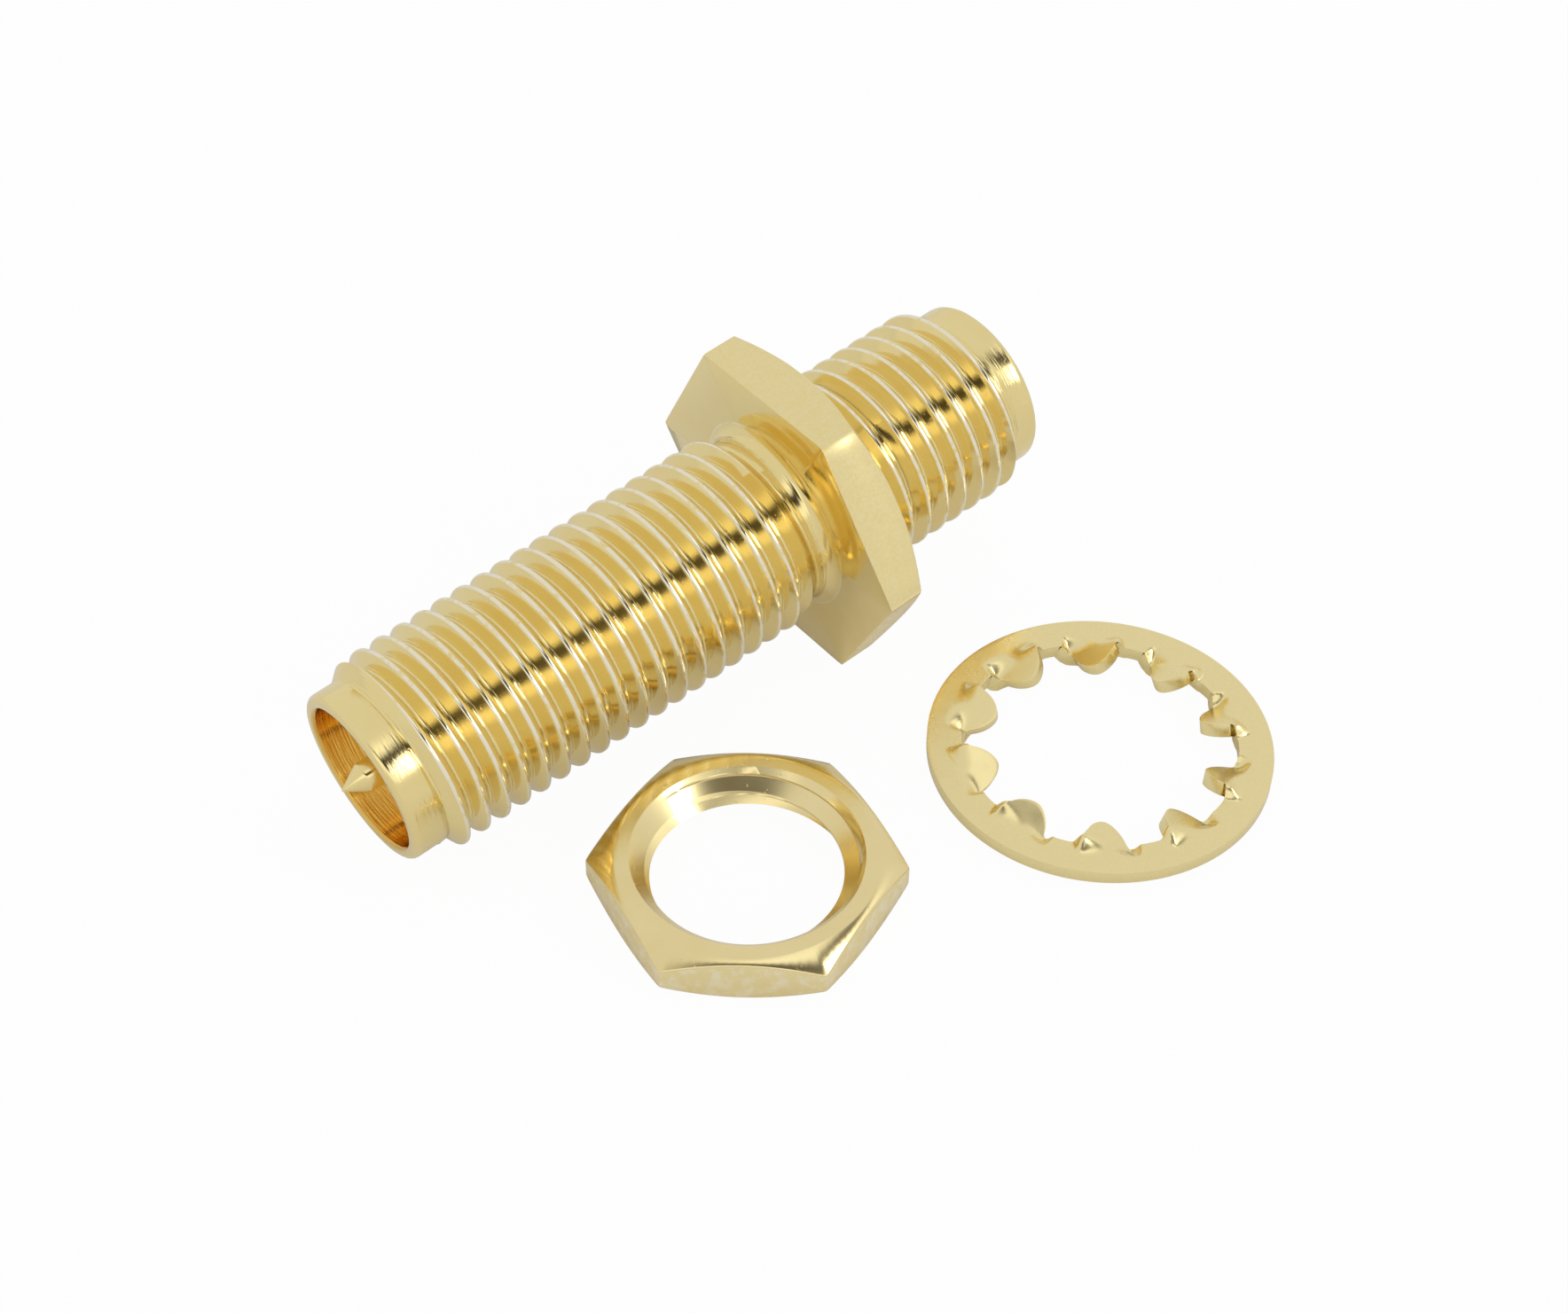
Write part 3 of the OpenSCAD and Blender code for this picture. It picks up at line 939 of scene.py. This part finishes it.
class ADAPTER_OT_nut(bpy.types.Operator):
    """Models the hexagon nut: crown chamfers, countersinks and the internal thread"""

    bl_idname = "adapter.nut"
    bl_label = "Nut"

    def execute(self, context):
        size = sizes()
        tint = context.scene.adapter_colours
        low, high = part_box("hex_nut")
        thick = (high.z - low.z) / MM
        upright = Matrix.Rotation(-math.pi / 2, 4, "Y")
        place = flat_frame("nut_thread", size.nut_turn) @ upright
        bm = bmesh.new()
        sink_r = size.nut_sink_d / 2
        line = thread_line(size, size.nut_play / 2)

        def bored(x, radius):
            """The thread's radius opened by the countersinks."""
            return max(radius, sink_r - x, sink_r - (thick - x))

        low_rim, high_rim = add_thread(bm, line, size.thread_pitch, thick / 2, 0.0, thick, bored)
        half_flat, tan_crown, edge = size.nut_af / 2, math.tan(size.crown_angle), 0.04
        bend, tuck = edge * 0.3, edge * 0.25
        flat_r = size.nut_ring_d / 2
        inner_r, ring_in, ring_out = flat_r - 0.15, flat_r - 0.02, flat_r + 0.02
        side = following(lambda angle: hexagon_radius(size.nut_af, angle, edge_r=0.12))

        def drop(radius):
            """How far the crown chamfer falls at a radius."""
            return max(0.0, radius - flat_r) * tan_crown

        bends = hexagon_angles(flat_steps=16, corner_half=math.radians(2.2), corner_steps=4)
        first = hexagon_rim(bm, bends, lambda angle: (0.0, inner_r))
        last = draw_rim(bm, first, [
            (0.0, ring_in), (drop(ring_out), ring_out),
            side(lambda r: drop(r - edge), edge), side(lambda r: drop(r) + bend, tuck),
            side(lambda r: drop(r) + edge), side(lambda r: thick - drop(r) - edge),
            side(lambda r: thick - drop(r) - bend, tuck), side(lambda r: thick - drop(r - edge), edge),
            (thick - drop(ring_out), ring_out), (thick, ring_in), (thick, inner_r),
        ])
        bmesh.ops.bridge_loops(bm, edges=first + low_rim)
        bmesh.ops.bridge_loops(bm, edges=last + high_rim)
        polished = bright_gold(
            "nut_plate", tint.nut, tint.deep, place, roughness=0.17, ring_scale=3.0, ring_depth=0.0012
        )
        frosted = frosted_gold(
            "nut_flats", tint.nut, place, roughness=0.28, scale=2.6, depth=0.03, streak=6.0, mottled=0.5
        )
        piece = piece_from(bm, "nut", place, [polished, frosted], ["hex_nut"], sharp=25)
        for polygon in piece.data.polygons:
            middle = place.inverted() @ polygon.center
            if abs(polygon.normal.z) < 0.2 and math.hypot(middle.y, middle.z) > half_flat - 0.1:
                polygon.material_index = 1
        return {"FINISHED"}


class ADAPTER_OT_washer(bpy.types.Operator):
    """Models the lock washer: a sheet ring with twisted inner teeth"""

    bl_idname = "adapter.washer"
    bl_label = "Lock washer"

    def execute(self, context):
        size = sizes()
        tint = context.scene.adapter_colours
        lift = MOUNTS["washer_hole"]["pos_m"][2] + WASHER_LIFT * MM
        place = flat_frame("washer_hole", size.washer_turn, lift)
        outer_r, root_r, step = size.washer_d / 2, size.washer_root_d / 2, FULL_TURN / size.washer_teeth
        inner = evenly_spaced(tooth_line(size, step), TOOTH_COLUMNS)
        bm = bmesh.new()
        bmesh.ops.create_grid(bm, x_segments=TOOTH_COLUMNS, y_segments=TOOTH_ROWS, size=0.5)
        for vert in bm.verts:
            along, across = vert.co.x + 0.5, vert.co.y + 0.5
            start = inner[round(along * TOOTH_COLUMNS)]
            angle = step * (along - 0.5)
            end = Vector((outer_r * math.cos(angle), outer_r * math.sin(angle)))
            at = start.lerp(end, across)
            vert.co = (at.x, at.y, 0)
        for vert in bm.verts:
            x, y = vert.co.x, vert.co.y
            inwards = fade(x, root_r + TWIST_NONE[0], root_r + TWIST_WHOLE[0])
            twist = -size.tooth_twist * inwards * fade(abs(y), TWIST_NONE[1], TWIST_WHOLE[1])
            vert.co = (x, y * math.cos(twist), y * math.sin(twist))
        bmesh.ops.spin(
            bm, geom=bm.verts[:] + bm.edges[:] + bm.faces[:], cent=(0, 0, 0), axis=(0, 0, 1),
            dvec=(0, 0, 0), angle=FULL_TURN - step, steps=size.washer_teeth - 1, use_merge=False,
            use_normal_flip=False, use_duplicate=True,
        )
        bmesh.ops.remove_doubles(bm, verts=bm.verts, dist=COARSE)
        bmesh.ops.recalc_face_normals(bm, faces=bm.faces)
        bmesh.ops.solidify(bm, geom=bm.verts[:] + bm.edges[:] + bm.faces[:], thickness=size.washer_t)
        rim = [v.co.z for v in bm.verts if math.hypot(v.co.x, v.co.y) > outer_r - WASHER_RIM]
        bmesh.ops.translate(bm, verts=bm.verts, vec=(0, 0, -(max(rim) + min(rim)) / 2))
        square = math.radians(60)
        corners = [e for e in bm.edges if len(e.link_faces) == 2 and e.calc_face_angle() > square]
        bmesh.ops.bevel(
            bm, geom=corners, offset=WASHER_BEVEL, segments=BEVEL_STEPS, profile=0.5, affect="EDGES",
            material=-1, clamp_overlap=True,
        )
        gold = frosted_gold(
            "washer_plate", tint.washer, place,
            roughness=0.2, scale=9.0, depth=0.0012, streak=4.0, mottled=0.08,
        )
        piece_from(bm, "washer", place, [gold], ["lock_washer"], sharp=60)
        return {"FINISHED"}


class ADAPTER_OT_stage(bpy.types.Operator):
    """Sets out the pale floor, the key light, the white surroundings and the camera"""

    bl_idname = "adapter.stage"
    bl_label = "Stage"

    def execute(self, context):
        tint = context.scene.adapter_colours
        bm = bmesh.new()
        bmesh.ops.create_circle(bm, cap_ends=True, segments=64, radius=FLOOR_RADIUS)
        mesh = bpy.data.meshes.new("floor")
        bm.to_mesh(mesh)
        bm.free()
        floor = bpy.data.objects.new("floor", mesh)
        context.scene.collection.objects.link(floor)
        mesh.materials.append(pale_floor(tint.floor))
        lamp = bpy.data.lights.new("key_light", "AREA")
        lamp.shape = "RECTANGLE"
        lamp.size, lamp.size_y, lamp.energy = KEY_WIDTH, KEY_HEIGHT, KEY_POWER
        light = bpy.data.objects.new("key_light", lamp)
        context.scene.collection.objects.link(light)
        light.location = KEY_SPOT
        light.rotation_euler = (-Vector(KEY_SPOT)).to_track_quat("-Z", "Y").to_euler()
        white_surroundings(context.scene)
        lens = bpy.data.cameras.new("camera")
        lens.lens, lens.sensor_width, lens.clip_start, lens.clip_end = CAMERA_LENS, CAMERA_SENSOR, 0.005, 10.0
        camera = bpy.data.objects.new("camera", lens)
        context.scene.collection.objects.link(camera)
        away = -Vector(CAMERA_LOOK).normalized()
        level = Vector((0, 0, 1)).cross(away).normalized()
        upright = away.cross(level)
        right = level * math.cos(CAMERA_ROLL) + upright * math.sin(CAMERA_ROLL)
        axes = Matrix((right, away.cross(right), away)).transposed().to_4x4()
        camera.matrix_world = Matrix.Translation(Vector(CAMERA_SPOT) * MM) @ axes
        context.scene.camera = camera
        context.scene.view_settings.view_transform = "Standard"
        return {"FINISHED"}


def pale_floor(base):
    """Nearly white to the camera, brighter in the metal, and still darker where the object shades it."""
    material, n = new_material("pale_floor")
    camera = n.add("ShaderNodeLightPath", output="Is Camera Ray")
    glossy = n.add("ShaderNodeLightPath", output="Is Glossy Ray")
    through = n.add("ShaderNodeLightPath", output="Is Transmission Ray")
    seen = camera * FLOOR_TO_CAMERA + (glossy + through) * FLOOR_TO_METAL
    plain = n.add("ShaderNodeBsdfDiffuse", {}, {"Color": shade(base)})
    white = n.add("ShaderNodeEmission", {}, {"Color": WHITE, "Strength": 1.0})
    both = n.add("ShaderNodeMixShader", {}, [seen, plain, white])
    n.add("ShaderNodeOutputMaterial", {}, {"Surface": both})
    return material


def white_surroundings(scene):
    """A pale tent with a dark strip between bright bands on one side, white to the camera itself."""
    world = bpy.data.worlds.new("tent")
    scene.world = world
    world.use_nodes = True
    n = Nodes(world.node_tree)
    at = n.add("ShaderNodeTexCoord", output="Generated")
    height = n.add("ShaderNodeSeparateXYZ", {}, [at], output="Z")
    dotted = {"operation": "DOT_PRODUCT"}
    towards = n.add("ShaderNodeVectorMath", dotted, [at, STRIP_SIDE], output="Value")
    bands = n.add("ShaderNodeValToRGB", {"stops": STRIP_BANDS}, [height])
    tent = n.mixed(n.ramp(towards, 0.0, STRIP_REACH), TENT, bands)
    around = n.add("ShaderNodeBackground", {}, {"Color": tent, "Strength": 1.0})
    white = n.add("ShaderNodeBackground", {}, {"Color": WHITE, "Strength": 1.0})
    seen = n.add("ShaderNodeLightPath", output="Is Camera Ray")
    both = n.add("ShaderNodeMixShader", {}, [seen, around, white])
    n.add("ShaderNodeOutputWorld", {}, {"Surface": both})


class ADAPTER_PT_panel(bpy.types.Panel):
    """Lists the adapter's pieces and its stage"""

    bl_idname = "ADAPTER_PT_panel"
    bl_label = "Coaxial adapter"
    bl_space_type = "VIEW_3D"
    bl_region_type = "UI"
    bl_category = "Adapter"

    def draw(self, context):
        for operator in PIECES:
            self.layout.operator(operator.bl_idname)
        for group in (context.scene.adapter_sizes, context.scene.adapter_colours):
            for key in group.bl_rna.properties.keys():
                if key not in {"rna_type", "name"}:
                    self.layout.prop(group, key)


PIECES = (
    ADAPTER_OT_barrel, ADAPTER_OT_flange, ADAPTER_OT_contact, ADAPTER_OT_insulators, ADAPTER_OT_nut,
    ADAPTER_OT_washer, ADAPTER_OT_stage,
)
CLASSES = (AdapterSizes, AdapterColours, *PIECES, ADAPTER_PT_panel)


def register():
    """Registers the classes and hangs the sizes and colours on the scene."""
    for cls in CLASSES:
        bpy.utils.register_class(cls)
    bpy.types.Scene.adapter_sizes = bpy.props.PointerProperty(type=AdapterSizes)
    bpy.types.Scene.adapter_colours = bpy.props.PointerProperty(type=AdapterColours)


def unregister():
    """Takes back what register did."""
    del bpy.types.Scene.adapter_colours
    del bpy.types.Scene.adapter_sizes
    for cls in reversed(CLASSES):
        bpy.utils.unregister_class(cls)


def main():
    register()
    bpy.ops.adapter.stage()
    bpy.ops.adapter.barrel()
    bpy.ops.adapter.flange()
    bpy.ops.adapter.contact()
    bpy.ops.adapter.insulators()
    bpy.ops.adapter.nut()
    bpy.ops.adapter.washer()
    bpy.context.view_layer.update()


if __name__ == "__main__":
    main()
